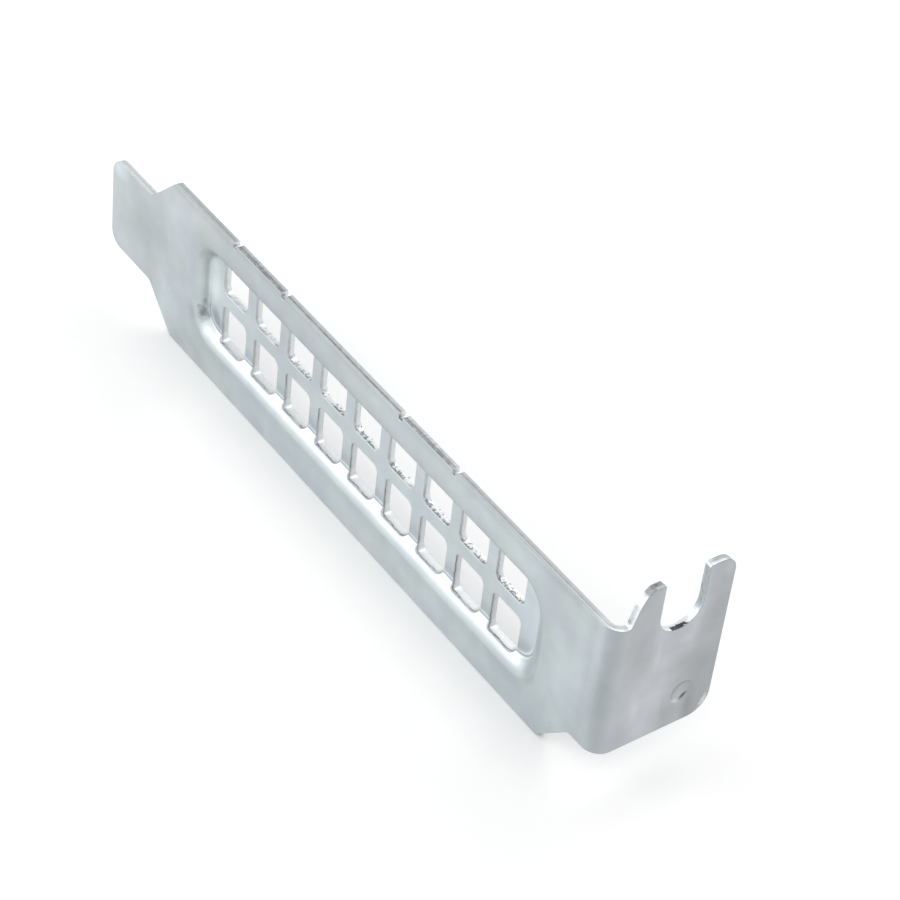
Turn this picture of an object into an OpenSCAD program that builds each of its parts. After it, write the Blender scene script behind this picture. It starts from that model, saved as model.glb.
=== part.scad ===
// Vented cover for a half-height expansion slot: one steel sheet, stamped, drawn and folded once.
// X runs along the cover from the tongue to the folded tab.
// Y runs from the flat inner face to the outer side, where the tab points.
// Z is the width, and the long lower edge lies at Z = 0.

/* [Sheet] */
// length over all, from the tongue's tip to the tab's outer face
overall_length = 80; // [78.5:0.1:82]
// width of the flat body
body_width = 18.42; // [18.2:0.02:19.4]
// sheet thickness
sheet = 0.8; // [0.6:0.05:0.9]
// radius on the convex side of the fold
fold_radius = 1.8; // [1.5:0.1:2.2]
// rounding of the outline's small corners
corner_radius = 0.6; // [0.3:0.05:0.8]

/* [Tongue] */
// width of the tongue
tongue_width = 10.19; // [9.4:0.01:10.6]
// length of the tongue, from its tip to the foot of the shoulders
tongue_length = 7.27; // [6:0.05:8.2]
// rounding of the tongue's tip
tongue_tip_radius = 1.6; // [0.8:0.1:2.4]

/* [Tab] */
// how far the tab reaches from the body's inner face
tab_depth = 12.15; // [11.8:0.05:13]
// height of the tab's lower edge above the body's lower edge
tab_lift = 3.9; // [2.8:0.05:4.6]
// height of the prongs above the body's upper edge
prong_rise = 3.65; // [3.1:0.05:4.4]
// distance from the tab's outer face to the foot of the slanted lower corner
slant_from_tab = 7.55; // [7.2:0.05:8.2]
// rounding of the tab's lower outer corner
tab_corner_radius = 2.15; // [1:0.05:3]
// rounding of the outer prong's tip
prong_tip_radius = 1.6; // [1:0.1:2.2]

/* [Screw notch] */
// width of the screw notch
notch_width = 4.56; // [4.2:0.01:4.8]
// distance of the notch's centre line from the body's inner face
notch_offset = 6.96; // [6.8:0.01:7.1]
// depth of the notch below the prong tips
notch_depth = 6.1; // [5.4:0.05:7]

/* [Tab dimple] */
// width of the pressed dimple
dimple_width = 2.4; // [1.8:0.1:3]
// depth of the pressed dimple
dimple_depth = 0.26; // [0.14:0.02:0.36]
// distance of the dimple from the body's inner face
dimple_offset = 8.85; // [8.4:0.05:9.2]
// height of the dimple above the tab's lower edge
dimple_height = 3.7; // [3.2:0.1:4.6]

/* [Drawn recess] */
// length of the recess at the inner face
recess_length = 56.6; // [56:0.1:57.6]
// width of the recess at the inner face
recess_width = 12.5; // [12.2:0.05:13]
// distance from the tab's outer face to the middle of the recess
recess_from_tab = 36.8; // [36.7:0.05:37.4]
// height of the recess's middle above the body's middle
recess_rise = 0.5; // [0:0.05:0.9]
// rounding of the recess's four corners in plan
recess_corner = 4; // [3.6:0.1:4.6]
// radius of the soft lip round the recess
lip_radius = 2; // [1.8:0.05:2.2]
// radius between the recess's wall and its floor
floor_radius = 0.3; // [0.2:0.05:0.5]
// slope of the recess's wall in degrees
wall_slope = 56; // [50:1:60]

/* [Vents] */
// number of vents along the cover
vent_columns = 9; // [5:1:9]
// spacing of the vents along the cover
vent_pitch = 5.52; // [5.35:0.01:5.6]
// length of one vent along the cover
vent_length = 4.15; // [3.6:0.05:4.35]
// height of one vent across the cover
vent_height = 4.1; // [3.4:0.05:4.15]
// width of the web between the two rows
web_width = 1.57; // [1.3:0.01:1.9]
// rounding of the vents' corners
vent_corner = 0.7; // [0.3:0.05:1]

/* [Break-off nicks] */
// width of one nick in the upper edge
nick_width = 0.55; // [0.4:0.05:0.8]
// depth of one nick
nick_depth = 0.5; // [0.3:0.05:0.7]
// distance from the tab's outer face to the middle of the nearer pair
nicks_from_tab = 26.8; // [25:0.1:29]
// distance between the middles of the two pairs
nick_pair_spacing = 27.1; // [26:0.05:28.5]
// distance between the two nicks of a pair
nick_spacing = 8.2; // [7.6:0.05:8.6]

/* [Hidden] */
$fn = 48;
margin = 1;
overlap = 0.1;
// shoulders at 45 degrees, from the tongue's edges out to the body's edges
shoulder = (body_width - tongue_width) / 2;
shoulder_foot = tongue_length - overall_length;
shoulder_top = shoulder_foot + shoulder;
tongue_low = shoulder;
tongue_high = body_width - shoulder;
// prongs and screw notch in the tab
prong_top = body_width + prong_rise;
notch_radius = notch_width / 2;
notch_near = notch_offset - notch_radius;
notch_far = notch_offset + notch_radius;
notch_centre_z = prong_top - notch_depth + notch_radius;
// the narrow prong's worn bevel: distances back from the notch, and down from the tip
prong_foot = notch_near - 3.1;
prong_side = notch_near - 2.4;
prong_knee = notch_near - 1.85;
prong_tip = notch_near - 1.15;
side_drop = 1.5;
knee_drop = 0.5;
// recess section, measured out from the centre of its rounded corners
lip_reach = (lip_radius + floor_radius) * sin(wall_slope);
floor_edge = recess_corner - lip_reach;
floor_centre = lip_radius - (lip_radius + floor_radius) * cos(wall_slope);
recess_depth = floor_centre + floor_radius;
half_length = recess_length / 2 - recess_corner;
half_width = recess_width / 2 - recess_corner;
recess_middle = body_width / 2 + recess_rise;
row_offset = (web_width + vent_height) / 2;
// the dimple is a shallow piece of a ball
ball_radius = (pow(dimple_width / 2, 2) + pow(dimple_depth, 2)) / (2 * dimple_depth);

// puts the part's origin at the middle of its base
module centred() {
  translate([overall_length / 2, -tab_depth / 2, 0]) children();
}

// extrudes an outline drawn in X and Z, from y0 to y1
module through_y(y0, y1) {
  translate([0, y1, 0])
    rotate([90, 0, 0])
      linear_extrude(y1 - y0) children();
}

// extrudes an outline drawn in Y and Z, from x0 to x1
module through_x(x0, x1) {
  translate([x0, 0, 0])
    rotate([90, 0, 90])
      linear_extrude(x1 - x0) children();
}

// the sliver between a sharp corner and its rounding, for edges that leave it at angles a and b
module corner_sliver(apex, a, b, r) {
  half_turn = ((b - a + 540) % 360 - 180) / 2;
  middle = a + half_turn;
  reach = r / tan(abs(half_turn));
  translate(apex)
    difference() {
      polygon([
        reach * [cos(a), sin(a)],
        -overlap * [cos(middle), sin(middle)],
        reach * [cos(b), sin(b)]
      ]);
      translate(r / sin(abs(half_turn)) * [cos(middle), sin(middle)])
        circle(r);
    }
}

// section of the folded sheet, seen along Z
module fold_section() {
  translate([-overall_length, 0])
    square([overall_length - fold_radius, sheet]);
  translate([-sheet, fold_radius])
    square([sheet, tab_depth - fold_radius]);
  translate([-fold_radius, fold_radius])
    intersection() {
      difference() {
        circle(fold_radius);
        circle(fold_radius - sheet);
      }
      translate([0, -fold_radius])
        square(fold_radius);
    }
}

// body with its tongue, shoulders, slanted lower corner and nicks, in X and Z
module body_outline() {
  slant_top = tab_lift - slant_from_tab;
  difference() {
    union() {
      polygon([
        [-overall_length, tongue_low],
        [shoulder_foot, tongue_low],
        [shoulder_top, 0],
        [-slant_from_tab, 0],
        [slant_top, tab_lift],
        [-fold_radius, tab_lift],
        [-fold_radius, body_width],
        [shoulder_top, body_width],
        [shoulder_foot, tongue_high],
        [-overall_length, tongue_high]
      ]);
      corner_sliver([shoulder_foot, tongue_low], 180, -45, corner_radius);
      corner_sliver([shoulder_foot, tongue_high], 180, 45, corner_radius);
      corner_sliver([slant_top, tab_lift], -135, 0, corner_radius);
    }
    corner_sliver([-overall_length, tongue_low], 0, 90, tongue_tip_radius);
    corner_sliver([-overall_length, tongue_high], 0, -90, tongue_tip_radius);
    corner_sliver([shoulder_top, 0], 135, 0, corner_radius);
    corner_sliver([shoulder_top, body_width], -135, 0, corner_radius);
    corner_sliver([-slant_from_tab, 0], 180, 45, corner_radius);
    for (pair = [0, 1], side = [-1, 1])
      translate([-nicks_from_tab - pair * nick_pair_spacing + side * nick_spacing / 2, body_width])
        square([nick_width, 2 * nick_depth], center = true);
  }
}

// tab with its two prongs and the screw notch between them, in Y and Z
module tab_outline() {
  side_lean = atan2(prong_rise - side_drop, prong_side - prong_foot);
  difference() {
    union() {
      polygon([
        [0, tab_lift],
        [tab_depth, tab_lift],
        [tab_depth, prong_top],
        [prong_tip, prong_top],
        [prong_knee, prong_top - knee_drop],
        [prong_side, prong_top - side_drop],
        [prong_foot, body_width],
        [0, body_width]
      ]);
      corner_sliver([prong_foot, body_width], 180, side_lean, corner_radius);
    }
    translate([notch_offset, notch_centre_z]) {
      circle(notch_radius);
      translate([-notch_radius, 0])
        square([notch_width, notch_depth]);
    }
    corner_sliver([tab_depth, tab_lift], 180, 90, tab_corner_radius);
    corner_sliver([tab_depth, prong_top], 180, -90, prong_tip_radius);
  }
}

// folded sheet with its finished outline, still flat where the recess goes
module blank() {
  intersection() {
    linear_extrude(prong_top + margin) fold_section();
    union() {
      through_y(-margin, sheet + margin) body_outline();
      through_x(-fold_radius, margin) tab_outline();
    }
  }
}

// half section of the draw beside the floor: skin 0 gives its hollow, the sheet's thickness its raised back
module draw_section(floor_run, skin) {
  lip = lip_radius - skin;
  foot = floor_radius + skin;
  start = skin > 0 ? skin / 4 : -margin;
  difference() {
    polygon([
      [-floor_run, start],
      [recess_corner, start],
      [recess_corner, skin],
      [recess_corner - lip * sin(wall_slope), lip_radius - lip * cos(wall_slope)],
      [floor_edge, recess_depth + skin],
      [-floor_run, recess_depth + skin]
    ]);
    translate([recess_corner, lip_radius])
      circle(lip);
  }
  translate([floor_edge, floor_centre])
    intersection() {
      circle(foot);
      translate([-foot, 0])
        square([2 * foot, foot]);
    }
}

// both sides of the draw with the floor between them
module draw_sides(half_run, skin) {
  for (side = [0, 1])
    mirror([side, 0])
      translate([half_run, 0])
        draw_section(half_run + overlap, skin);
}

// the whole draw: a revolved stamp in each corner, and a straight one each way
module draw_stamp(skin) {
  translate([-recess_from_tab, 0, recess_middle]) {
    for (sx = [-1, 1], sz = [-1, 1])
      translate([sx * half_length, 0, sz * half_width])
        rotate([-90, 0, 0])
          rotate_extrude() draw_section(0, skin);
    linear_extrude(2 * half_width, center = true)
      draw_sides(half_length, skin);
    rotate([0, 90, 0])
      linear_extrude(2 * half_length, center = true)
        draw_sides(half_width, skin);
  }
}

// the two rows of vents, punched straight through the draw
module vents() {
  for (column = [0:vent_columns - 1], row = [-1, 1])
    translate([
      (column - (vent_columns - 1) / 2) * vent_pitch - recess_from_tab,
      0,
      recess_middle + row * row_offset
    ])
      through_y(-margin, recess_depth + sheet + margin)
        vent_outline();
}

// one vent with rounded corners
module vent_outline() {
  inner_length = vent_length - 2 * vent_corner;
  inner_height = vent_height - 2 * vent_corner;
  square([vent_length, inner_height], center = true);
  square([inner_length, vent_height], center = true);
  for (sx = [-1, 1], sz = [-1, 1])
    translate([sx * inner_length / 2, sz * inner_height / 2])
      circle(vent_corner);
}

// ball that presses the dimple: skin 0 gives its hollow, the sheet's thickness the bump behind
module dimple_ball(skin) {
  translate([ball_radius - dimple_depth, dimple_offset, tab_lift + dimple_height])
    sphere(ball_radius + skin);
}

// bump on the tab's underside, behind the dimple
module dimple_bump() {
  intersection() {
    dimple_ball(sheet);
    through_x(-2 * sheet, -sheet / 2)
      translate([dimple_offset, tab_lift + dimple_height])
        circle(dimple_width);
  }
}

// the whole cover: one sheet, drawn, punched and folded
module bracket() {
  color("#c3cbcd")
    centred()
      difference() {
        union() {
          blank();
          draw_stamp(sheet);
          dimple_bump();
        }
        draw_stamp(0);
        vents();
        dimple_ball(0);
      }
}

bracket();
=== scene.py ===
import math
import random
from functools import partial

import bmesh
import bpy
import numpy as np
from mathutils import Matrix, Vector, geometry


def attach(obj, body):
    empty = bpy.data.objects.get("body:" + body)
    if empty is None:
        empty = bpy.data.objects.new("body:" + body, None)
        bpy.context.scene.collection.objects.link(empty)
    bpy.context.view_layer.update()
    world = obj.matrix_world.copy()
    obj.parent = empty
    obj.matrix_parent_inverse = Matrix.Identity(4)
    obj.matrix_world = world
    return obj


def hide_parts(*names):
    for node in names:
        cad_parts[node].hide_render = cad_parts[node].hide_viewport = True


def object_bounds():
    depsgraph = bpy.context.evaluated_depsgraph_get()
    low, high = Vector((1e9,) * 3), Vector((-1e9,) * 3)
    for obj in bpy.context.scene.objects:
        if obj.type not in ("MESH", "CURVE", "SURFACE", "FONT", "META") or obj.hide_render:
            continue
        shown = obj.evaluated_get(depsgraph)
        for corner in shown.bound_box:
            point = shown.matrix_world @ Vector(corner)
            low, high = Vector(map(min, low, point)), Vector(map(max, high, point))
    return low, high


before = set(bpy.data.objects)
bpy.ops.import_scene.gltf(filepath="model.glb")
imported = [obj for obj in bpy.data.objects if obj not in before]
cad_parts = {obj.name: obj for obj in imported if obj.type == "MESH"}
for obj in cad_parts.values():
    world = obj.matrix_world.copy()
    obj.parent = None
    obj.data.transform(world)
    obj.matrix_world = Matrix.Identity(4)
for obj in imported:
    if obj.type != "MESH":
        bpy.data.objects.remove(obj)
cadLow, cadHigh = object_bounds()
mm = 0.001
print("frame loaded, box in mm:", [round(v / mm, 2) for v in (*cadLow, *cadHigh)])


def hexColour(code):
    # sRGB hex to linear
    channels = [int(code[i : i + 2], 16) / 255 for i in (1, 3, 5)]
    linear = [c / 12.92 if c <= 0.04045 else ((c + 0.055) / 1.055) ** 2.4 for c in channels]
    return (*linear, 1.0)


def addNode(tree, kind, values=(), stops=(), **settings):
    # values fill the sockets in order, or by name; a node or a socket among them is linked
    # a kind in capitals is a Math node's operation; stops are a colour ramp's places and colours
    if kind.isupper():
        kind, settings["operation"] = "ShaderNodeMath", kind
    node = tree.nodes.new(kind)
    for name, value in settings.items():
        setattr(node, name, value)
    for key, value in values.items() if isinstance(values, dict) else enumerate(values):
        if isinstance(value, bpy.types.Node):
            value = value.outputs[0]
        if isinstance(value, bpy.types.NodeSocket):
            tree.links.new(value, node.inputs[key])
        elif value is not None:
            node.inputs[key].default_value = value
    for _ in stops[2:]:
        node.color_ramp.elements.new(0.5)
    for i, (place, colour) in enumerate(stops):
        node.color_ramp.elements[i].position = place
        node.color_ramp.elements[i].color = colour
    return node


cameraSetup = {
    "place": (0.15990, -0.12518, 0.18444),
    "turn": (48.409, -5.374, 55.074),  # degrees
    "lens": 117.5,
}
cameraData = bpy.data.cameras.new("camera")
cameraData.lens = cameraSetup["lens"]
cameraData.sensor_width = 36
camera = bpy.data.objects.new("camera", cameraData)
camera.location = cameraSetup["place"]
camera.rotation_euler = [math.radians(a) for a in cameraSetup["turn"]]
bpy.context.scene.collection.objects.link(camera)
bpy.context.scene.camera = camera

# the blank, in mm: u runs along the sheet as if it were unfolded, 0 where the tab's outer face will be,
# z across it, and y through it from the inner face
blank = {
    "length": (cadHigh.x - cadLow.x) / mm,
    "tabDepth": (cadHigh.y - cadLow.y) / mm,
    "prongTop": (cadHigh.z - cadLow.z) / mm,
    "width": 18.42,
    "sheet": 0.8,
    "foldRadius": 1.8,
    "tongueWidth": 10.19,
    "tongueLength": 7.27,
    "tabLift": 3.9,
    "slantFoot": 7.55,
    "notchWidth": 4.56,
    "notchMiddle": 6.96,
    "notchBottom": 15.97,
    "nicks": (-22.7, -30.9, -49.8, -58.0),
    "nickWidth": 0.55,
    "nickDepth": 0.5,
    "nickRadii": (0.12, 0.08),  # at its mouth and in its bottom
    "corner": 0.6,
    "slantCorner": 0.9,
    "tabCorner": 2.15,
    "tipRadius": 1.6,  # the tongue's tip and the outer prong's
    "notchLip": 0.3,
    # the narrow prong, from the notch down its bevelled side: distance from the notch, drop from the top, radius
    "narrowProng": ((0, 0, 0.25), (1.15, 0, 0.5), (1.85, 0.5, 0.5), (2.4, 1.5, 0.8)),
    "prongFoot": (3.1, 0.65),  # distance from the notch, radius
    "steps": {"folded": 0.14, "torn": 0.16, "plain": 0.5},  # between the outline's points
    "foldPoints": {"across": 20, "along": 21, "lowest": 4.35, "apart": 0.68},  # where the sheet bends
}
vents = {
    "columns": 9,
    "pitch": 5.52,
    "length": 4.15,
    "height": 4.1,
    "web": 1.57,
    "corner": 0.7,
    "step": 0.3,  # between the outline's points
}
recess = {
    "middle": (-36.8, 9.71),
    "length": 56.6,
    "width": 12.5,
    "corner": 4.0,
    "lipRadius": 2.0,
    "floorRadius": 0.3,
    "wallSlope": 56.0,  # degrees
    "step": 0.55,  # between the points along a straight side
    "cornerSteps": 16,
    "lipRings": 17,  # of points, 0.1 mm apart
    "footRings": (1.66, 1.71, 1.76, 1.81, 1.86, 1.91, 2.05),  # mm in from the lip
}
dimple = {"middle": (8.85, 7.6), "radius": 1.2, "depth": 0.26, "rings": 12, "ringStep": 0.12, "around": 30}
# a sheared edge: the rolled side, the burnished band, the torn band
shear = {
    "rollWidth": 0.08,
    "rollDepth": 0.06,
    "burnishEnd": 0.4,
    "tearStart": 0.46,
    "tearInset": 0.03,
    "tornWobble": 0.016,  # spread of the torn edge
    "clearOf": {"outline": 0.12, "vents": 0.1},  # what the free points keep from the rolled side
    "seed": 7,
}
mergeReach = 2e-7  # metres, under which two points are one
sharpFrom = 38  # degrees between two faces, from which their edge is sharp


def flatFromTab(y):
    # where a height on the folded tab lies on the flat blank
    r = blank["foldRadius"]
    if y < r:
        return r * (math.acos(1 - y / r) - 1)
    return r * (math.pi / 2 - 1) + y - r


def roundedLoop(corners, stepAngle=9):
    # corners are (u, z, radius), counter-clockwise
    loop = []
    count = len(corners)
    for i, (u, z, radius) in enumerate(corners):
        here = Vector((u, z))
        before = (Vector(corners[i - 1][:2]) - here).normalized()
        after = (Vector(corners[(i + 1) % count][:2]) - here).normalized()
        half = before.angle(after) / 2
        if radius == 0:
            points = [here]
        else:
            centre = here + (before + after).normalized() * radius / math.sin(half)
            turn = math.pi - 2 * half
            start = here + before * radius / math.tan(half) - centre
            end = here + after * radius / math.tan(half) - centre
            steps = max(3, math.ceil(turn / math.radians(stepAngle)))
            points = [
                centre + (start * math.sin((1 - k / steps) * turn) + end * math.sin(k / steps * turn)) / math.sin(turn)
                for k in range(steps + 1)
            ]
        for point in points:
            if not loop or (point - loop[-1]).length > 1e-4:
                loop.append(point)
    if (loop[0] - loop[-1]).length < 1e-4:
        loop.pop()
    return loop


def splitLong(loop, spacingAt):
    # cuts long straight stretches into even steps, no longer than the spacing there
    dense = []
    for i, point in enumerate(loop):
        after = loop[(i + 1) % len(loop)]
        steps = max(1, math.ceil((after - point).length / spacingAt((point + after) / 2, (after - point).length)))
        dense += [point.lerp(after, k / steps) for k in range(steps)]
    return np.array([tuple(p) for p in dense])


def insetLoop(loop, amount):
    # moves a counter-clockwise loop to its left by amount, which may differ from point to point
    ahead = np.roll(loop, -1, 0) - loop
    ahead /= np.linalg.norm(ahead, axis=1)[:, None]
    normal = np.stack([-ahead[:, 1], ahead[:, 0]], 1)
    before = np.roll(normal, 1, 0)
    mitre = (normal + before) / (1 + (normal * before).sum(1))[:, None]
    return loop + mitre * np.reshape(amount, (-1, 1))


def insideLoop(points, loop):
    inside = np.zeros(len(points), bool)
    for (u0, z0), (u1, z1) in zip(loop, np.roll(loop, -1, 0)):
        if z0 == z1:
            continue
        crosses = (z0 > points[:, 1]) != (z1 > points[:, 1])
        inside ^= crosses & (points[:, 0] < (u1 - u0) * (points[:, 1] - z0) / (z1 - z0) + u0)
    return inside


def shearRows():
    # (distance in from the cut outline, depth through the sheet, share of cut wall)
    width, depth = shear["rollWidth"], shear["rollDepth"]
    rows = [(width + 0.03, 0.0, 0.0)]
    for angle in (0, 22.5, 45, 67.5, 90):
        a = math.radians(angle)
        rows.append((width * (1 - math.sin(a)), depth * (1 - math.cos(a)), angle / 90))
    rows += [
        (0.0, shear["burnishEnd"], 1.0),
        (shear["tearInset"] * 0.7, shear["tearStart"], 1.0),
        (shear["tearInset"], blank["sheet"] - 0.04, 1.0),
        (shear["tearInset"] + 0.02, blank["sheet"], 1.0),
        (shear["rollWidth"], blank["sheet"], 0.0),
    ]
    return rows


def sweepRows(loop, side, wobble=None):
    # joins the shear rows round a loop into a band; side is 1 where the sheet lies left of the loop
    verts, faces, walls, rings = [], [], [], []
    count = len(loop)
    for r, (inset, depth, wall) in enumerate(shearRows()):
        amount = np.full(count, inset)
        if wobble is not None and wall == 1:
            amount = amount + wobble * (1 if depth > shear["burnishEnd"] else 0.4)
        ring = insetLoop(loop, side * amount)
        rings.append(ring)
        verts += [(u, depth, z) for u, z in ring]
        walls += [wall] * count
        if r:
            for i in range(count):
                j = (i + 1) % count
                a, b = (r - 1) * count, r * count
                faces.append((a + i, a + j, b + j, b + i))
    return verts, faces, walls, rings


def fillFace(outer, holes, free, depth):
    # triangles between an outer loop and its holes, through the free points
    loops = [outer, *holes]
    coords = [Vector(p) for loop in loops for p in loop] + [Vector(p) for p in free]
    edges, base = [], 0
    for loop in loops:
        edges += [(base + i, base + (i + 1) % len(loop)) for i in range(len(loop))]
        base += len(loop)
    verts, _, faces, *_ = geometry.delaunay_2d_cdt(coords, edges, [], 0, 1e-6)
    flat = np.array([tuple(v) for v in verts])
    middles = np.array([flat[list(f)].mean(0) for f in faces])
    keep = insideLoop(middles, outer)
    for hole in holes:
        near = (np.abs(middles - hole.mean(0)) < 4).all(1) & keep
        keep[near] &= ~insideLoop(middles[near], hole)
    return [(u, depth, z) for u, z in flat], [tuple(f) for f, k in zip(faces, keep) if k]


def outlineLoop():
    b = blank
    low = (b["width"] - b["tongueWidth"]) / 2
    high = b["width"] - low
    foot = b["tongueLength"] - b["length"]
    top = foot + low
    edge = flatFromTab(b["tabDepth"])
    near = b["notchMiddle"] - b["notchWidth"] / 2
    far = flatFromTab(b["notchMiddle"] + b["notchWidth"] / 2)
    corners = [
        (-b["length"], low, b["tipRadius"]),
        (foot, low, b["corner"]),
        (top, 0, b["corner"]),
        (-b["slantFoot"], 0, b["corner"]),
        (b["tabLift"] - b["slantFoot"], b["tabLift"], b["slantCorner"]),
        (edge, b["tabLift"], b["tabCorner"]),
        (edge, b["prongTop"], b["tipRadius"]),
        (far, b["prongTop"], b["notchLip"]),
        (far, b["notchBottom"], b["notchWidth"] / 2),
        (flatFromTab(near), b["notchBottom"], b["notchWidth"] / 2),
    ]
    corners += [(flatFromTab(near - out), b["prongTop"] - drop, radius) for out, drop, radius in b["narrowProng"]]
    out, radius = b["prongFoot"]
    corners.append((flatFromTab(near - out), b["width"], radius))
    mouth, bottom = b["nickRadii"]
    for u in b["nicks"]:
        side = b["nickWidth"] / 2
        corners += [
            (u + side, b["width"], mouth),
            (u + side, b["width"] - b["nickDepth"], bottom),
            (u - side, b["width"] - b["nickDepth"], bottom),
            (u - side, b["width"], mouth),
        ]
    corners += [(top, b["width"], b["corner"]), (foot, high, b["corner"]), (-b["length"], high, b["tipRadius"])]

    def spacing(middle, length):
        # closer steps on the fold and the tab, along the edges that run into the fold, and where the edge is torn
        if middle.x > -b["foldRadius"] - 0.2 or length > 20 and middle.x > -20:
            return b["steps"]["folded"]
        onTop = b["width"] - middle.y < 0.01
        return b["steps"]["torn" if onTop and min(b["nicks"]) < middle.x < max(b["nicks"]) else "plain"]

    return splitLong(roundedLoop(corners), spacing)


def ventLoop():
    u, z = vents["length"] / 2, vents["height"] / 2
    corner = vents["corner"]
    corners = [(-u, -z, corner), (u, -z, corner), (u, z, corner), (-u, z, corner)]
    return splitLong(roundedLoop(corners), lambda middle, length: vents["step"])


def ventMiddles():
    u0, z0 = recess["middle"]
    rise = (vents["web"] + vents["height"]) / 2
    half = (vents["columns"] - 1) / 2
    return [
        (u0 + (column - half) * vents["pitch"], z0 + row * rise)
        for column in range(vents["columns"])
        for row in (-1, 1)
    ]


def recessRing(distance):
    # rounded rectangle at a distance in from the recess's lip
    u0, z0 = recess["middle"]
    radius = recess["corner"] - distance
    halfU = recess["length"] / 2 - recess["corner"]
    halfZ = recess["width"] / 2 - recess["corner"]
    ring = []
    for quarter, (su, sz) in enumerate(((1, 1), (-1, 1), (-1, -1), (1, -1))):
        centre = np.array((u0 + su * halfU, z0 + sz * halfZ))
        for k in range(recess["cornerSteps"] + 1):
            a = math.radians(90 * (quarter + k / recess["cornerSteps"]))
            ring.append(centre + radius * np.array((math.cos(a), math.sin(a))))
    loop = [Vector(p) for p in ring]
    return splitLong(loop, lambda middle, length: recess["step"] if length > 2 else math.inf)


def freePoints():
    # points within the faces where the press tool bends them: the recess's wall, the fold and the dimple
    points = []
    for distance in (*(0.1 * k for k in range(recess["lipRings"])), *recess["footRings"]):
        points += [tuple(p) for p in recessRing(distance)]
    r = blank["foldRadius"]
    fold = blank["foldPoints"]
    for k in range(fold["across"] + 1):
        u = -r + k / fold["across"] * r * math.pi / 2
        points += [(u, fold["lowest"] + fold["apart"] * j) for j in range(fold["along"])]
    u0, z0 = flatFromTab(dimple["middle"][0]), dimple["middle"][1]
    points.append((u0, z0))
    for k in range(1, dimple["rings"] + 1):
        radius = k * dimple["ringStep"]
        for j in range(dimple["around"]):
            a = 2 * math.pi * j / dimple["around"]
            points.append((u0 + radius * math.cos(a), z0 + radius * math.sin(a)))
    return np.array(points)


def pressDimple(verts):
    # a shallow piece of a ball, pressed in from the tab's outer face
    u0, z0 = flatFromTab(dimple["middle"][0]), dimple["middle"][1]
    ball = (dimple["radius"] ** 2 + dimple["depth"] ** 2) / (2 * dimple["depth"])
    pressed = []
    for u, y, z in verts:
        r = math.hypot(u - u0, z - z0)
        reach = ball + y * 0.999
        drop = math.sqrt(max(reach**2 - r**2, 0)) - (ball - dimple["depth"]) - y
        pressed.append((u, y + max(drop, 0), z))
    return pressed


def meshFrom(name, verts, faces, **marks):
    mesh = bpy.data.meshes.new(name)
    mesh.from_pydata([tuple(c * mm for c in v) for v in verts], [], faces)
    for title, values in marks.items():
        mesh.attributes.new(title, "FLOAT", "POINT").data.foreach_set("value", values)
    return bpy.data.objects.new(name, mesh)


def flatBlank():
    outline = outlineLoop()
    dice = random.Random(shear["seed"])
    # between the two nicks of a pair the edge was broken off its strip, and is torn
    nicks = sorted(blank["nicks"])
    half = blank["nickWidth"] / 2
    top = outline[:, 1] > blank["width"] - blank["nickDepth"] - 0.01
    nicked = top & (np.abs(outline[:, :1] - nicks) < half + 0.08).any(1)
    torn = np.zeros(len(outline), bool)
    for first, last in zip(nicks[::2], nicks[1::2]):
        torn |= top & (outline[:, 0] > first + half + 0.1) & (outline[:, 0] < last - half - 0.1)
    wobble = np.array([dice.gauss(0, shear["tornWobble"]) for _ in outline]) * torn
    verts, faces, walls, rings = sweepRows(outline, 1, wobble)
    rowCount = len(rings)
    hole = ventLoop()
    rows = shearRows()
    clearOf = shear["clearOf"]
    free = freePoints()
    free = free[insideLoop(free, insetLoop(outline, shear["rollWidth"] + clearOf["outline"]))]
    for middle in ventMiddles():
        near = (np.abs(free - middle) < 4).all(1)
        bad = np.zeros(len(free), bool)
        bad[near] = insideLoop(free[near], insetLoop(hole + middle, -shear["rollWidth"] - clearOf["vents"]))
        free = free[~bad]
    for row, ring in ((0, rings[0]), (-1, rings[-1])):
        inset, depth, _ = rows[row]
        holes = [insetLoop(hole + middle, -inset) for middle in ventMiddles()]
        faceVerts, faceFaces = fillFace(ring, holes, free, depth)
        base = len(verts)
        verts += faceVerts
        walls += [0.0] * len(faceVerts)
        faces += [tuple(base + i for i in f) for f in faceFaces]
    marks = [np.zeros(len(verts)) for _ in range(2)]
    for mark, chosen in zip(marks, (nicked, torn)):
        mark[: rowCount * len(outline)] = np.tile(chosen, rowCount)
    return meshFrom(
        "flatBlank", pressDimple(verts), faces, cutWall=walls, ventWall=marks[0] * walls, tornWall=marks[1]
    )


def ventRim():
    verts, faces, walls, _ = sweepRows(ventLoop(), -1)
    return meshFrom("ventRim", verts, faces, cutWall=walls, ventWall=walls, tornWall=[0.0] * len(verts))


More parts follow.
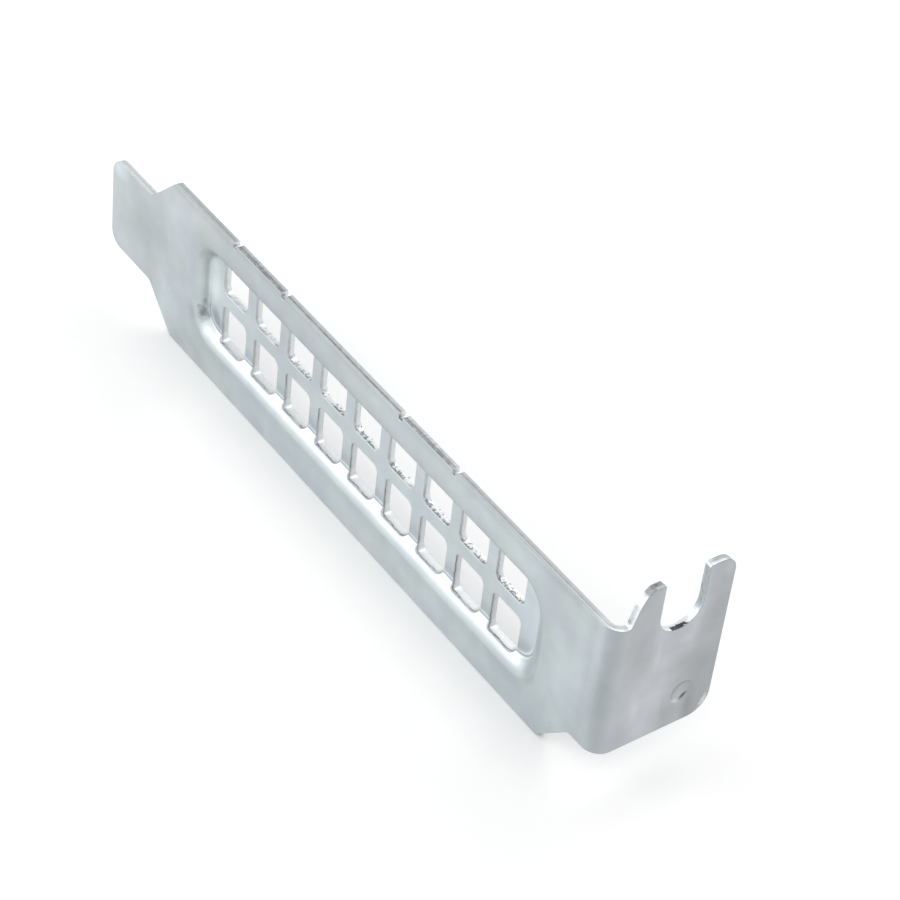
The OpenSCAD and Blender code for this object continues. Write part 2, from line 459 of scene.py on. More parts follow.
def pressTree(plated, sheared):
    # pierces the vents' rims into the blank, draws the recess, folds the tab
    tree = bpy.data.node_groups.new("pressTool", "GeometryNodeTree")
    put = partial(addNode, tree)
    sockets = {"Blank": "Geometry", "Vent rim": "Object", **dict.fromkeys(sizeInputs, "Float"), "Vent columns": "Int"}
    for name, kind in sockets.items():
        tree.interface.new_socket(name, in_out="INPUT", socket_type="NodeSocket" + kind)
    tree.interface.new_socket("Part", in_out="OUTPUT", socket_type="NodeSocketGeometry")
    given = put("NodeGroupInput").outputs

    # the vents
    across = put("MULTIPLY", [given["Vent pitch"], put("SUBTRACT", [given["Vent columns"], 1.0])])
    grid = put("GeometryNodeMeshGrid", [across, given["Row spacing"], given["Vent columns"], 2])
    middle = put("ShaderNodeCombineXYZ", [given["Recess middle U"], 0.0, given["Recess middle Z"]])
    stood = put(
        "GeometryNodeTransform", {"Geometry": grid, "Rotation": (math.pi / 2, 0, 0), "Translation": middle}
    )
    rim = put("GeometryNodeObjectInfo", {"Object": given["Vent rim"]}).outputs["Geometry"]
    rims = put("GeometryNodeInstanceOnPoints", {"Points": stood, "Instance": rim})
    rims = put("GeometryNodeRealizeInstances", [rims])
    joined = put("GeometryNodeJoinGeometry", [given["Blank"]])
    tree.links.new(rims.outputs[0], joined.inputs[0])
    pierced = put("GeometryNodeMergeByDistance", {"Geometry": joined, "Distance": mergeReach})

    # distance in from the recess's lip, on the flat sheet
    place = put("ShaderNodeSeparateXYZ", [put("GeometryNodeInputPosition")]).outputs
    overU, overZ = (
        put("SUBTRACT", [put("ABSOLUTE", [put("SUBTRACT", [place[axis], given[middle]])]), given[half]])
        for axis, middle, half in (
            (0, "Recess middle U", "Recess half length"),
            (2, "Recess middle Z", "Recess half width"),
        )
    )
    corner = put("ShaderNodeCombineXYZ", [put("MAXIMUM", [overU, 0.0]), 0.0, put("MAXIMUM", [overZ, 0.0])])
    reach = put("ShaderNodeVectorMath", [corner], operation="LENGTH").outputs["Value"]
    reach = put("ADD", [reach, put("MINIMUM", [put("MAXIMUM", [overU, overZ]), 0.0])])
    inset = put("SUBTRACT", [given["Recess corner"], reach])

    # kept for the finishes: how deep in the sheet each point lies, how far along it, how far into the recess
    skin = put("DIVIDE", [place[1], given["Sheet"]])
    marked = pierced
    for name, value in (("sheetDepth", skin), ("along", place[0]), ("inset", inset)):
        kept = {"Geometry": marked, "Name": name, "Value": value}
        marked = put("GeometryNodeStoreNamedAttribute", kept, data_type="FLOAT", domain="POINT")

    # the draw: the lip's arc, then the floor's arc
    sine, cosine = (put(kind, [given["Wall slope"]]) for kind in ("SINE", "COSINE"))
    inward = put("MAXIMUM", [inset, 0.0])
    lip = put("SUBTRACT", [given["Lip radius"], place[1]])
    foot = put("ADD", [given["Floor radius"], place[1]])
    both = put("ADD", [given["Lip radius"], given["Floor radius"]])
    lipEnd = put("MULTIPLY", [lip, sine])
    footRun = put("MAXIMUM", [put("SUBTRACT", [put("MULTIPLY", [both, sine]), inward]), 0.0])
    footCentre = put("SUBTRACT", [given["Lip radius"], put("MULTIPLY", [both, cosine])])
    lipRise, footRise = (
        put("SQRT", [put("SUBTRACT", [put("POWER", [radius, 2.0]), put("POWER", [run, 2.0])])])
        for radius, run in ((lip, put("MINIMUM", [inward, lipEnd])), (foot, footRun))
    )
    lipY = put("SUBTRACT", [given["Lip radius"], lipRise])
    footY = put("ADD", [footCentre, footRise])
    drawnY = put("GeometryNodeSwitch", [put("GREATER_THAN", [inward, lipEnd]), lipY, footY], input_type="FLOAT")
    drawnPlace = put("ShaderNodeCombineXYZ", [place[0], drawnY, place[2]])
    drawn = put("GeometryNodeSetPosition", {"Geometry": marked, "Position": drawnPlace})

    # the fold
    place = put("ShaderNodeSeparateXYZ", [put("GeometryNodeInputPosition")]).outputs
    radius = given["Fold radius"]
    along = put("ADD", [place[0], radius])
    quarter = put("MULTIPLY", [radius, math.pi / 2])
    angle = put("DIVIDE", [put("MINIMUM", [put("MAXIMUM", [along, 0.0]), quarter]), radius])
    inner = put("SUBTRACT", [radius, place[1]])
    swungX, swungY = (put("MULTIPLY", [inner, put(kind, [angle])]) for kind in ("SINE", "COSINE"))
    foldedX = put("SUBTRACT", [put("ADD", [swungX, put("MINIMUM", [along, 0.0])]), radius])
    beyond = put("MAXIMUM", [put("SUBTRACT", [along, quarter]), 0.0])
    foldedY = put("ADD", [put("SUBTRACT", [radius, swungY]), beyond])
    foldedPlace = put("ShaderNodeCombineXYZ", [foldedX, foldedY, place[2]])
    folded = put(
        "GeometryNodeSetPosition", {"Geometry": drawn, "Position": foldedPlace, "Offset": tuple(origin)}
    )

    # the finishes
    whole = put("GeometryNodeRealizeInstances", [folded])
    faced = put("GeometryNodeSetMaterial", {"Geometry": whole, "Material": plated})
    wall = put("GeometryNodeInputNamedAttribute", ["cutWall"], data_type="FLOAT").outputs["Attribute"]
    cut = put("FunctionNodeCompare", [wall, 0.99], data_type="FLOAT", operation="GREATER_EQUAL")
    edged = put("GeometryNodeSetMaterial", {"Geometry": faced, "Selection": cut, "Material": sheared})
    put("NodeGroupOutput", [edged])
    return tree


origin = Vector((cadHigh.x, cadLow.y, cadLow.z))
sizeInputs = {
    "Sheet": blank["sheet"] * mm,
    "Fold radius": blank["foldRadius"] * mm,
    "Vent pitch": vents["pitch"] * mm,
    "Row spacing": (vents["web"] + vents["height"]) * mm,
    "Recess middle U": recess["middle"][0] * mm,
    "Recess middle Z": recess["middle"][1] * mm,
    "Recess half length": (recess["length"] / 2 - recess["corner"]) * mm,
    "Recess half width": (recess["width"] / 2 - recess["corner"]) * mm,
    "Recess corner": recess["corner"] * mm,
    "Lip radius": recess["lipRadius"] * mm,
    "Floor radius": recess["floorRadius"] * mm,
    "Wall slope": math.radians(recess["wallSlope"]),
}


mapRange, mixNode = "ShaderNodeMapRange", "ShaderNodeMix"


def metres(values):
    return [value * mm for value in values]


def startMaterial(name, finish, marks):
    # an empty material, what adds a node to it, and what it reads: the place, the kept marks and its noises
    material = bpy.data.materials.new(name)
    material.use_nodes = True
    material.node_tree.nodes.clear()
    put = partial(addNode, material.node_tree)
    here = put("ShaderNodeTexCoord").outputs["Object"]
    across = put("ShaderNodeSeparateXYZ", [here]).outputs
    read = {"here": here, "x": across[0], "y": across[1], "height": across[2]}
    for mark in marks:
        read[mark] = put("ShaderNodeAttribute", attribute_name=mark).outputs["Fac"]
    for title, (size, detail, roughness) in finish.get("noises", {}).items():
        values = {"Vector": here, "Scale": 1 / (size * mm), "Detail": detail, "Roughness": roughness}
        read[title] = put("ShaderNodeTexNoise", values).outputs["Fac"]
    return material, put, read


def product(put, first, *others):
    for other in others:
        first = put("MULTIPLY", [first, other])
    return first


def layered(put, base, *layers, blend="MIX"):
    # lays (share, colour) over a colour, one after another
    for share, colour in layers:
        base = put(mixNode, {0: share, 6: base, 7: colour}, data_type="RGBA", blend_type=blend).outputs[2]
    return base


def toneAlong(put, value, stops):
    # brightness from stops of (mm, brightness), which the ramp holds halved
    first, last = stops[0][0], stops[-1][0]
    greys = [((place - first) / (last - first), (tone / 2, tone / 2, tone / 2, 1)) for place, tone in stops]
    share = put(mapRange, [value, first * mm, last * mm])
    return put("MULTIPLY", [put("ShaderNodeValToRGB", [share], greys), 2.0])


def toneUpward(put, height, tones, heights):
    # one brightness gives way to the next between two heights in mm
    tone, *higher = tones
    for span, above in zip(heights, higher):
        tone = put(mixNode, [put(mapRange, [height, *metres(span)]), None, tone, above])
    return tone


def dabTone(put, here, spot):
    # its tone inside a soft-edged ellipse, less what a second one takes away, and 1 outside
    turn = math.radians(spot.get("turn", 0))  # about x on the tab, about y on the body
    mask = 1.0
    for place, core in ((spot["at"], 1.0), (spot.get("less"), 0.0)):
        if place is None:
            continue
        values = {
            "Vector": here,
            "Location": origin + Vector(place) * mm,
            "Rotation": (turn, 0, 0) if place[0] > -0.9 else (0, turn, 0),
            "Scale": metres(spot["half"]),
        }
        near = put("ShaderNodeMapping", values, vector_type="TEXTURE")
        reach = put("ShaderNodeVectorMath", [near], operation="LENGTH").outputs["Value"]
        if "ragged" in spot:
            values = {"Vector": here, "Scale": 1 / (spot["ragged"] * mm), "Detail": 3.0}
            frays = put("ShaderNodeTexNoise", values).outputs["Fac"]
            reach = put("ADD", [reach, put("MULTIPLY", [put("SUBTRACT", [frays, 0.5]), 2.0])])
        mask = put("MULTIPLY", [mask, put(mapRange, [reach, spot.get("core", 0.6), 1.0, core, 1.0 - core])])
    return put(mapRange, [mask, 0.0, 1.0, 1.0, spot["tone"]])


def metalSurface(put, colour, tone, rough, grain, bump):
    # bare metal of a colour times a brightness; bump is the grain's strength and its depth in mm
    strength, distance = bump
    normal = put("ShaderNodeBump", {"Height": grain, "Strength": strength, "Distance": distance * mm})
    base = layered(put, colour, (1.0, tone), blend="MULTIPLY")
    values = {"Base Color": base, "Metallic": 1.0, "Roughness": rough, "Normal": normal}
    put("ShaderNodeOutputMaterial", {"Surface": put("ShaderNodeBsdfPrincipled", values)})


zinc = {
    "cool": "#c7cfd4",
    "warm": "#c8d0d1",
    # painted reflection: past the fold the plating takes a more neutral tint
    "tab": "#c9cdd1",
    # size in mm, detail and roughness of the bath's cloud, of a finer mottle and of the crystals' grain,
    # which is drawn coarser than the real one, so that it shows
    "noises": {"cloud": (5.0, 3.0, 0.5), "mottle": (2.6, 2.0, 0.5), "grain": (0.5, 4.0, 0.6)},
    "warmed": (0.4, 0.6),  # the cloud's values over which the cool colour turns warm
    "mottled": (0.95, 1.05),
    "grainBump": (0.12, 0.01),  # strength, depth in mm
    "roughness": (0.42, 0.5),
    # painted light and shade: brightness at a distance in mm along the unfolded sheet, low, halfway up and high on it
    "lowLightAndShade": (
        (-79, 0.89), (-76, 0.87), (-73, 0.81), (-70, 0.98), (-66, 0.91), (-60, 1), (-50, 0.99),
        (-40, 1.01), (-30, 1.03), (-20, 1.02), (-12, 0.96), (-8, 0.96), (-5, 0.96), (-4, 0.91),
        (-3.2, 0.88), (-2.6, 0.86), (-2, 0.88), (-1.5, 0.85), (-1, 0.76), (-0.5, 0.72), (0, 0.75),
        (0.6, 0.82), (1.4, 0.81), (2.3, 0.86), (3.3, 0.92), (4.3, 0.95), (5.3, 0.89), (6.3, 0.74),
        (7.2, 0.75), (8, 0.77), (9, 0.57), (10, 0.66),
    ),
    "middleLightAndShade": (
        (-79, 0.94), (-76, 0.83), (-73, 0.73), (-70, 0.79), (-67, 0.91), (-62, 1.1), (-50, 0.92),
        (-38, 1), (-27, 0.99), (-18, 0.97), (-12, 1.07), (-8, 0.96), (-6, 1.03), (-4.4, 0.99),
        (-3.4, 1.04), (-2.7, 0.96), (-2.1, 0.95), (-1.6, 0.86), (-1, 0.69), (-0.5, 0.68), (0, 0.73),
        (0.6, 0.81), (1.5, 0.86), (2.5, 0.94), (3.5, 0.92), (4.5, 0.91), (5.5, 0.92), (6.5, 0.83),
        (7.5, 0.75), (8.8, 0.7), (10, 0.67),
    ),
    "highLightAndShade": (
        (-79, 0.94), (-76, 0.86), (-73, 0.85), (-68, 0.94), (-60, 0.89), (-50, 0.91), (-40, 0.94),
        (-30, 0.99), (-20, 0.98), (-12, 1.04), (-8, 0.91), (-5, 0.92), (-4, 0.98), (-3.2, 0.92),
        (-2.6, 0.86), (-2, 0.93), (-1.5, 0.9), (-1, 0.74), (-0.5, 0.69), (0, 0.72), (0.6, 0.8),
        (1.4, 0.78), (2.3, 0.74), (3.3, 0.77), (4.3, 0.87), (5.3, 0.84), (6.3, 0.83), (7.2, 0.84),
        (8, 0.9), (9, 0.76), (10, 0.71),
    ),
    "toneHeights": ((6, 10), (10, 14)),  # mm, where one gives way to the next
    # painted light and shade of the drawn recess: brightness at a distance in mm in from the recess's lip, on its
    # lower side, its ends and its upper side
    "lowInsetShading": (
        (-1.5, 1.0), (-0.3, 0.93), (0.15, 0.92), (0.4, 1.03), (0.8, 1.04), (1.3, 1.07), (1.5, 1.05), (1.78, 1.12),
        (1.87, 0.78), (1.96, 0.78), (2.04, 1.32), (2.14, 1.32), (2.28, 0.92), (2.6, 0.84), (3.2, 0.9), (4.2, 1.0),
    ),
    "endInsetShading": (
        (-2, 1.0), (-0.6, 0.96), (0.2, 0.92), (1.1, 0.96), (1.35, 0.88), (1.5, 0.76), (1.65, 0.8), (1.8, 1.05),
        (2.4, 1.06), (3.1, 1.0),
    ),
    "highInsetShading": (
        (-2, 1.0), (-0.6, 0.95), (0.2, 0.91), (0.6, 0.93), (0.9, 0.83), (1.2, 0.82), (1.6, 0.84), (1.8, 0.84),
        (2.1, 1.0),
    ),
    "insetHeights": ((6.6, 7.6), (12.5, 13.5)),
    # painted shade at the top edge: its brightness, from one height to another, and where along the body it sets in
    "topFade": {"tone": 0.9, "heights": (17.4, 18.2), "along": (-3, -5)},
    "rolled": 0.82,  # brightness of the rolled side of the cut: painted shade that dims its highlight
}
# painted light and shade on the plating, and a few scratches: brightness inside a soft ellipse
zincShadingAndScratches = (
    # painted shade and light on the dimple: shade on its rim, a lighter bowl, a dark almond mark in it, a highlight
    # below it and a line of shade for a crease beside it
    {"at": (0, 8.75, 7.75), "half": (1, 1.2, 1.2), "less": (0, 8.93, 7.52), "core": 0.88, "tone": 0.7},
    {"at": (0, 8.87, 7.6), "half": (1, 1.0, 1.0), "core": 0.6, "tone": 1.05},
    {"at": (0, 9.12, 6.88), "half": (1, 0.62, 0.22), "turn": 33, "core": 0.35, "tone": 0.32},
    {"at": (0, 8.2, 6.75), "half": (1, 0.65, 0.28), "turn": -28, "core": 0.3, "tone": 1.28},
    {"at": (0, 6.72, 7.2), "half": (1, 0.14, 1.6), "turn": 4, "core": 0.2, "tone": 0.93},
    # a painted highlight on the tab's lower outer corner, with a painted dark rim
    {"at": (0, 11.52, 5.15), "half": (1, 1.5, 0.42), "turn": 68, "core": 0.2, "tone": 1.6, "ragged": 0.35},
    {"at": (0, 11.5, 4.58), "half": (1, 0.9, 0.1), "turn": 45, "core": 0.4, "tone": 0.5, "ragged": 0.3},
    # lighter and darker patches on the tab
    {"at": (0, 8.5, 11.6), "half": (1, 2.3, 1.7), "core": 0.2, "tone": 0.88},
    {"at": (0, 8.1, 14.4), "half": (1, 1.1, 0.7), "turn": -20, "core": 0.2, "tone": 1.07},
    {"at": (0, 3.6, 8.2), "half": (1, 0.7, 2.0), "core": 0.2, "tone": 1.06},
    {"at": (0, 5.2, 13.4), "half": (1, 0.45, 2.2), "core": 0.2, "tone": 1.06},
    # painted highlights on the prongs, the outer one's on its top corner
    {"at": (0, 3.3, 19.5), "half": (1, 1.4, 2.6), "core": 0.3, "tone": 1.07},
    {"at": (0, 11.4, 21.2), "half": (1, 0.9, 1.5), "turn": 20, "core": 0.1, "tone": 1.16},
    # a painted highlight on the tongue's tip
    {"at": (-79, 0, 13.6), "half": (2.2, 1, 1.5), "core": 0.1, "tone": 1.22},
    # painted shade and highlights at the recess's ends
    {"at": (-63.45, 0.55, 6.6), "half": (0.7, 1, 1.4), "core": 0.2, "tone": 0.42, "ragged": 0.7},
    {"at": (-62.5, 1.0, 10.8), "half": (1.1, 0.6, 4.4), "core": 0.5, "tone": 1.15},
    {"at": (-9.0, 0.1, 9.4), "half": (0.5, 1, 4.6), "core": 0.4, "tone": 0.85},
    {"at": (-9.6, 0.4, 7.4), "half": (0.5, 1, 1.4), "core": 0.3, "tone": 0.9},
    {"at": (-9.9, 0.3, 5.9), "half": (1.2, 1, 1.9), "core": 0.35, "tone": 0.78},
    {"at": (-62.6, 0.5, 5.0), "half": (0.9, 1, 1.2), "core": 0.2, "tone": 1.35},
    {"at": (-61.9, 1.0, 6.7), "half": (0.8, 1, 1.6), "turn": -25, "core": 0.4, "tone": 0.8},
    {"at": (-64.6, 0.2, 5.9), "half": (0.7, 1, 1.3), "core": 0.3, "tone": 0.9},
    # light scratches by the tongue
    {"at": (-71.2, 0, 12.0), "half": (0.25, 1, 1.1), "turn": 35, "core": 0.2, "tone": 1.07},
    {"at": (-69.3, 0, 11.6), "half": (0.2, 1, 0.9), "turn": -20, "core": 0.2, "tone": 1.07},
    {"at": (-69.0, 0, 5.6), "half": (0.2, 1, 0.9), "turn": 30, "core": 0.2, "tone": 1.06},
)


def zincPlate():
    # bright zinc, plated in a bath on cold-rolled steel: satin metal, faintly cloudy and bluish
    material, put, read = startMaterial("brightZincPlate", zinc, ("along", "inset", "cutWall", "ventWall"))
    height, along = read["height"], read["along"]
    tint = layered(
        put,
        hexColour(zinc["cool"]),
        (put(mapRange, [read["cloud"], *zinc["warmed"]]), hexColour(zinc["warm"])),
        # the tab's tint, a painted reflection
        (put(mapRange, [along, -mm, mm]), hexColour(zinc["tab"])),
    )
    # painted light and shade along the sheet and in from the recess's lip, and painted shade on the rolled side of the
    # cuts and at the top edge
    lightAndShadeBands = [toneAlong(put, along, zinc[name]) for name in ("lowLightAndShade", "middleLightAndShade", "highLightAndShade")]
    drawn = [toneAlong(put, read["inset"], zinc[name]) for name in ("lowInsetShading", "endInsetShading", "highInsetShading")]
    rolled = put("SUBTRACT", [read["cutWall"], read["ventWall"]])
    fade = zinc["topFade"]
    nearTop = put(mapRange, [height, *metres(fade["heights"])])
    nearTop = put("MULTIPLY", [nearTop, put(mapRange, [along, *metres(fade["along"])])])
    tone = product(
        put,
        toneUpward(put, height, lightAndShadeBands, zinc["toneHeights"]),
        toneUpward(put, height, drawn, zinc["insetHeights"]),
        put(mapRange, [read["mottle"], 0.3, 0.7, *zinc["mottled"]]),
        put(mapRange, [rolled, 0.0, 0.6, 1.0, zinc["rolled"]]),
        put(mapRange, [nearTop, 0.0, 1.0, 1.0, fade["tone"]]),
        *(dabTone(put, read["here"], spot) for spot in zincShadingAndScratches),
    )
    rough = put(mapRange, [read["cloud"], 0.3, 0.7, *zinc["roughness"]])
    metalSurface(put, tint, tone, rough, read["grain"], zinc["grainBump"])
    return material


edge = {
    # share of the sheet's depth, colour
    "outline": ((0.0, "#b6bdc1"), (0.12, "#bbc1c4"), (0.3, "#b8bdc0"), (0.62, "#b0b4b5"), (1.0, "#b6babb")),
    # painted light on the punched walls: a colour for those that face up, in the upper row and in the lower, and for
    # those that face along the sheet
    "upperFoot": ((0.0, "#d4d8d9"), (0.25, "#dbdedf"), (0.5, "#d6d9da"), (0.75, "#dfe1e2"), (1.0, "#e8eaea")),
    "lowerFoot": ((0.0, "#d6dadc"), (0.3, "#c4c8ca"), (0.6, "#cfd2d4"), (1.0, "#d4d7d8")),
    "upperSide": ((0.0, "#d4d9db"), (0.25, "#c6cbcd"), (0.5, "#dcdfe0"), (1.0, "#e0e3e4")),
    "lowerSide": ((0.0, "#c6cbcd"), (0.3, "#c4c9cb"), (0.5, "#d4d8da"), (1.0, "#d8dbdc")),
    # a sketchy dark line of painted shade on them, in shares of the sheet's depth and in mm along and up the body
    "punchShadeLine": {
        "depth": (0.1, 0.19, 0.28),  # its start, middle and end
        "later": 0.08,  # how much deeper it lies in the upper row
        "wobble": 0.35,
        "dark": (0.75, 0.1),  # brightness where it is faint and where it is strong
        "upperFaint": (0.5, 0.8),  # how much fainter in the upper row, on side walls and on foot walls
        "fold": {"along": (-26, -10), "tone": 0.45},  # darker towards the fold
        "tongue": {"along": (-60, -42), "tone": 0.4},  # fainter towards the tongue
        "top": (15, 17),  # it ends on the way up between these
    },
    # painted light and shade: brightness of the outline's walls, and of the dark line on them between the burnished
    # and the torn band, at a distance in mm along the sheet
    "outlineLight": (
        (-80, 1.36), (-73, 1.34), (-70, 1.1), (-62, 0.97), (-33, 1.02), (-23, 1.0), (-21, 0.88), (-4, 0.85), (-1, 1.1),
        (1, 1.65), (10, 1.65),
    ),
    "lineTone": (
        (-80, 0.85), (-70, 0.78), (-62, 0.68), (-50, 0.34), (-33, 0.28), (-20, 0.55), (-4, 0.62), (0, 0.8), (2, 0.95),
        (10, 0.95),
    ),
    # how much deeper the line lies there, as a share of the sheet
    "lineShift": ((-80, 0.08), (-62, 0.08), (-48, 0.0), (-36, -0.06), (-20, 0.07), (10, 0.07)),
    "lineDepth": (0.28, 0.45, 0.63),  # its start, middle and end, as shares of the sheet
    "lineUneven": (0.6, 1.15),  # its strength where it is weakest and strongest
    "facingUp": (0.5, 0.8),  # the rise of a wall's normal where it begins to face up, and where it does
    # dark specks in the upper row: the noise's values they set in at, those of their patches, and how much
    # fewer they are towards the back
    "specks": {"colour": "#85898b", "amount": (0.38, 0.45), "patches": (0.36, 0.46), "thinning": 0.2},
    # dark streaks in the broken stretches: the noise's values, the least share, and the depths between which
    # they set in and end
    "streaks": {"colour": "#84888a", "amount": (0.4, 0.56), "least": 0.35, "start": (0.0, 0.12), "end": (0.45, 0.7)},
    "specked": (0.9, 1.03),  # brightness over all the cut walls
    # size in mm, detail and roughness; the tearing's grain is drawn coarser than the real one, so that it shows
    "noises": {
        "speck": (0.3, 3.0, 0.6),
        "wobble": (0.8, 3.0, 0.5),
        "patch": (1.3, 4.0, 0.6),
        "uneven": (0.5, 4.0, 0.6),
        "tearing": (1.6, 1.0, 0.5),
        "streak": (0.7, 4.0, 0.7),
    },
    "grainBump": (0.3, 0.03),  # strength, depth in mm
    "roughness": (0.3, 0.5),
}
# painted shade and a painted dark reflection on the cut walls
edgeShading = (
    # a painted dark reflection in the notch's bottom, and painted shade on the prongs' tops
    {"at": (-0.22, 6.95, 16.2), "half": (0.38, 1.0, 0.8), "core": 0.8, "tone": 0.08, "ragged": 0.5},
    {"at": (-0.7, 9.3, 19.45), "half": (0.2, 0.5, 0.5), "core": 0.2, "tone": 0.7},
    {"at": (-0.4, 10.9, 22.1), "half": (0.7, 1.5, 0.7), "core": 0.7, "tone": 0.62},
    {"at": (-0.4, 3.7, 22.0), "half": (0.7, 1.3, 1.2), "core": 0.7, "tone": 0.42},
    {"at": (-0.55, 3.9, 22.0), "half": (0.3, 0.25, 0.4), "core": 0.3, "tone": 0.6},
)


def band(put, value, places):
    # rises from 0 to 1 and falls back
    start, middle, end = places
    return put("MINIMUM", [put(mapRange, [value, start, middle]), put(mapRange, [value, middle, end, 1.0, 0.0])])


def shearedEdge():
    # the steel's own cut edge, sheared by a punch: a burnished band, a dark line, then the torn grey band
    marks = ("sheetDepth", "along", "ventWall", "tornWall")
    material, put, read = startMaterial("shearedSteelEdge", edge, marks)
    depth, along, vent, torn = (read[mark] for mark in marks)
    speck, height = read["speck"], read["height"]
    # painted light: walls that face up take lighter colours
    facing = put("ShaderNodeSeparateXYZ", [put("ShaderNodeNewGeometry").outputs["Normal"]]).outputs[2]
    upward = put(mapRange, [facing, *edge["facingUp"]])
    upper = put("GREATER_THAN", [height, recess["middle"][1] * mm])

    # punched walls, in painted light by which way they face, with their sketchy dark line of painted shade
    sketch = edge["punchShadeLine"]
    ragged = put("ADD", [depth, put("MULTIPLY", [put("SUBTRACT", [read["wobble"], 0.5]), sketch["wobble"]])])
    ramps = {
        name: put("ShaderNodeValToRGB", [value], [(place, hexColour(code)) for place, code in edge[name]])
        for name, value in (
            ("outline", depth),
            ("lowerFoot", ragged),
            ("upperFoot", ragged),
            ("lowerSide", ragged),
            ("upperSide", ragged),
        )
    }
    foot = layered(put, ramps["lowerFoot"], (upper, ramps["upperFoot"]))
    side = layered(put, ramps["lowerSide"], (upper, ramps["upperSide"]))
    toFold, fromTongue = sketch["fold"], sketch["tongue"]
    dark = put(mapRange, [read["patch"], 0.4, 0.58, *sketch["dark"]])
    dark = put("MULTIPLY", [dark, put(mapRange, [along, *metres(toFold["along"]), 1.0, toFold["tone"]])])
    farEnd = put(mapRange, [along, *metres(fromTongue["along"]), fromTongue["tone"], 1.0])
    fainter = put("MULTIPLY", [upper, put(mapRange, [upward, 0.0, 1.0, *sketch["upperFaint"]])])
    placed = put("SUBTRACT", [ragged, put("MULTIPLY", [upper, sketch["later"]])])
    strong = product(
        put,
        band(put, placed, sketch["depth"]),
        farEnd,
        put("SUBTRACT", [1.0, fainter]),
        put(mapRange, [height, *metres(sketch["top"]), 1.0, 0.0]),
    )
    sketched = put(mixNode, [strong, None, 1.0, dark])
    punched = layered(put, layered(put, side, (upward, foot)), (1.0, sketched), blend="MULTIPLY")

    # the outline's walls, in painted light and shade along the sheet, with a dark line between the burnished and the
    # torn band
    shift = toneAlong(put, along, [(place, share + 1) for place, share in edge["lineShift"]])
    line = band(put, put("SUBTRACT", [depth, put("SUBTRACT", [shift, 1.0])]), edge["lineDepth"])
    line = put("MULTIPLY", [line, put(mapRange, [read["uneven"], 0.36, 0.6, *edge["lineUneven"]])])
    lineTone = put(mixNode, [line, None, 1.0, toneAlong(put, along, edge["lineTone"])])
    outlineLight = put("MULTIPLY", [lineTone, toneAlong(put, along, edge["outlineLight"])])
    outline = layered(put, ramps["outline"], (1.0, outlineLight), blend="MULTIPLY")

    # punched walls that face up in the upper row tore in dark specks, most of them by the face
    specks = edge["specks"]
    finer = put("SUBTRACT", [speck, put("MULTIPLY", [depth, specks["thinning"]])])
    tearing = put(mapRange, [read["tearing"], *specks["patches"]])
    dots = product(put, put(mapRange, [finer, *specks["amount"]]), tearing, upward, vent, upper, farEnd)
    # the broken stretches are dark in streaks through the front half of the sheet
    streaks = edge["streaks"]
    start, end = put(mapRange, [depth, *streaks["start"]]), put(mapRange, [depth, *streaks["end"], 1.0, 0.0])
    streaked = put(mapRange, [read["streak"], *streaks["amount"], streaks["least"], 1.0])
    broken = product(put, torn, put("MULTIPLY", [start, end]), streaked)
    colour = layered(
        put,
        outline,
        (vent, punched),
        (dots, hexColour(specks["colour"])),
        (broken, hexColour(streaks["colour"])),
    )
    tone = put(mapRange, [speck, 0.35, 0.65, *edge["specked"]])
    tone = product(put, tone, *(dabTone(put, read["here"], spot) for spot in edgeShading))
    rough = put(mapRange, [speck, 0.3, 0.7, *edge["roughness"]])
    metalSurface(put, colour, tone, rough, speck, edge["grainBump"])
    return material


def pressCover():
    sheetObject = flatBlank()
    rimObject = ventRim()
    for thing in (sheetObject, rimObject):
        bpy.context.scene.collection.objects.link(thing)
    press = sheetObject.modifiers.new("pressTool", "NODES")
    press.node_group = pressTree(zincPlate(), shearedEdge())
    values = {**sizeInputs, "Vent rim": rimObject, "Vent columns": vents["columns"]}
    for item in press.node_group.interface.items_tree:
        if item.in_out == "INPUT" and item.name in values:
            press[item.identifier] = values[item.name]
    evaluated = sheetObject.evaluated_get(bpy.context.evaluated_depsgraph_get())
    mesh = bpy.data.meshes.new_from_object(evaluated)
    sheetObject.modifiers.remove(press)
    cover = bpy.data.objects.new("slotCover", mesh)
    bpy.context.scene.collection.objects.link(cover)
    bpy.data.objects.remove(sheetObject)
    bpy.data.objects.remove(rimObject)
    work = bmesh.new()
    work.from_mesh(mesh)
    bmesh.ops.remove_doubles(work, verts=work.verts, dist=mergeReach)
    bmesh.ops.recalc_face_normals(work, faces=work.faces)
    openEdges = sum(1 for e in work.edges if not e.is_manifold)
    for face in work.faces:
        face.smooth = True
    work.to_mesh(mesh)
    work.free()
    mesh.set_sharp_from_angle(angle=math.radians(sharpFrom))
    print("slot cover:", len(mesh.polygons), "faces,", openEdges, "open edges")
    return cover


cover = pressCover()
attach(cover, "root")
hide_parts("bracket")


def seenRay(put):
    # 1 for what the camera sees, straight or in the metal
    path = put("ShaderNodeLightPath").outputs
    rays = put("MAXIMUM", [path["Is Camera Ray"], path["Is Glossy Ray"]])
    return put("MAXIMUM", [rays, path["Is Transmission Ray"]])


floorSetup = {
    "size": 3.0,
    "colour": "#f2f2f2",
    "glow": (0.29, 0.42),  # by the part, and past the lamps' reach
    "reach": (0.12, 0.5),
    "contact": 7.0,  # how far the contact shadow goes, mm
    # the wider shade behind the part, mm: its reach, and where it starts and ends across and along
    "behind": {"reach": 22.0, "from": (-5.3, -2.5), "until": (34, 39), "strength": 1.25},
}


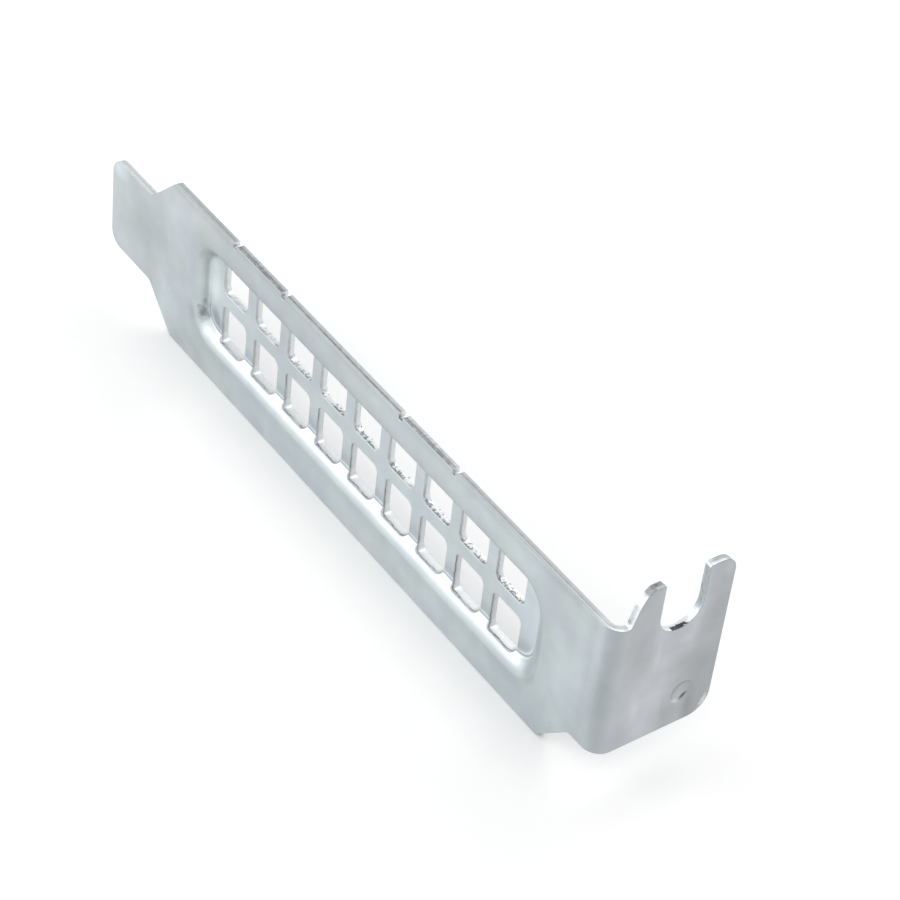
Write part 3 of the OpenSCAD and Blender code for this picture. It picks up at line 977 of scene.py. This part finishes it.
def layFloor():
    # matt white paper, white where the camera or the metal sees it, with the part's own shadow
    mesh = bpy.data.meshes.new("floor")
    half = floorSetup["size"] / 2
    corners = [(x * half, y * half, cadLow.z) for x, y in ((-1, -1), (1, -1), (1, 1), (-1, 1))]
    mesh.from_pydata(corners, [], [(0, 1, 2, 3)])
    floor = bpy.data.objects.new("floor", mesh)
    bpy.context.scene.collection.objects.link(floor)
    material, put, read = startMaterial("whitePaper", floorSetup, ())
    shade = floorSetup["behind"]
    contact = put("ShaderNodeAmbientOcclusion", {"Distance": floorSetup["contact"] * mm}).outputs["AO"]
    wide = put("ShaderNodeAmbientOcclusion", {"Distance": shade["reach"] * mm}, samples=6).outputs["AO"]
    behind = put(mapRange, [read["y"], *metres(shade["from"])])
    behind = put("MULTIPLY", [behind, put(mapRange, [read["x"], *metres(shade["until"]), 1.0, 0.0])])
    wide = put(mixNode, [behind, None, 1.0, put("POWER", [wide, shade["strength"]])])
    away = put("ShaderNodeVectorMath", [read["here"]], operation="LENGTH").outputs["Value"]
    shine = put(mapRange, [away, *floorSetup["reach"], *floorSetup["glow"]])
    shine = product(put, shine, seenRay(put), contact, wide)
    paper = put("ShaderNodeBsdfDiffuse", {"Color": hexColour(floorSetup["colour"])})
    glow = put("ShaderNodeEmission", {"Color": (1, 1, 1, 1), "Strength": shine})
    put("ShaderNodeOutputMaterial", {"Surface": put("ShaderNodeAddShader", [paper, glow])})
    mesh.materials.append(material)
    return floor


floor = layFloor()

# studio light
lamps = {
    "frontPanel": {"place": (-0.33, -0.38, 0.22), "size": 0.42, "power": 0.8},
    "behind": {"place": (-0.12, 0.34, 0.36), "size": 0.3, "power": 0.42},
}
aim = (cadLow + cadHigh) / 2
for name, lamp in lamps.items():
    data = bpy.data.lights.new(name, "AREA")
    data.shape = "DISK"
    data.size = lamp["size"]
    data.energy = lamp["power"]
    thing = bpy.data.objects.new(name, data)
    thing.location = lamp["place"]
    thing.rotation_euler = (Vector(lamp["place"]) - aim).to_track_quat("Z", "Y").to_euler()
    bpy.context.scene.collection.objects.link(thing)

worldStrength = 0.72
world = bpy.data.worlds.new("studio")
bpy.context.scene.world = world
world.use_nodes = True
world.node_tree.nodes.clear()
put = partial(addNode, world.node_tree)
strength = put(mapRange, [seenRay(put), 0.0, 1.0, worldStrength, 1.0])
sky = put("ShaderNodeBackground", {"Color": (1, 1, 1, 1), "Strength": strength})
put("ShaderNodeOutputWorld", {"Surface": sky})
bpy.context.scene.view_settings.view_transform = "Standard"
print("lamps, floor and world set")

bpy.context.view_layer.update()
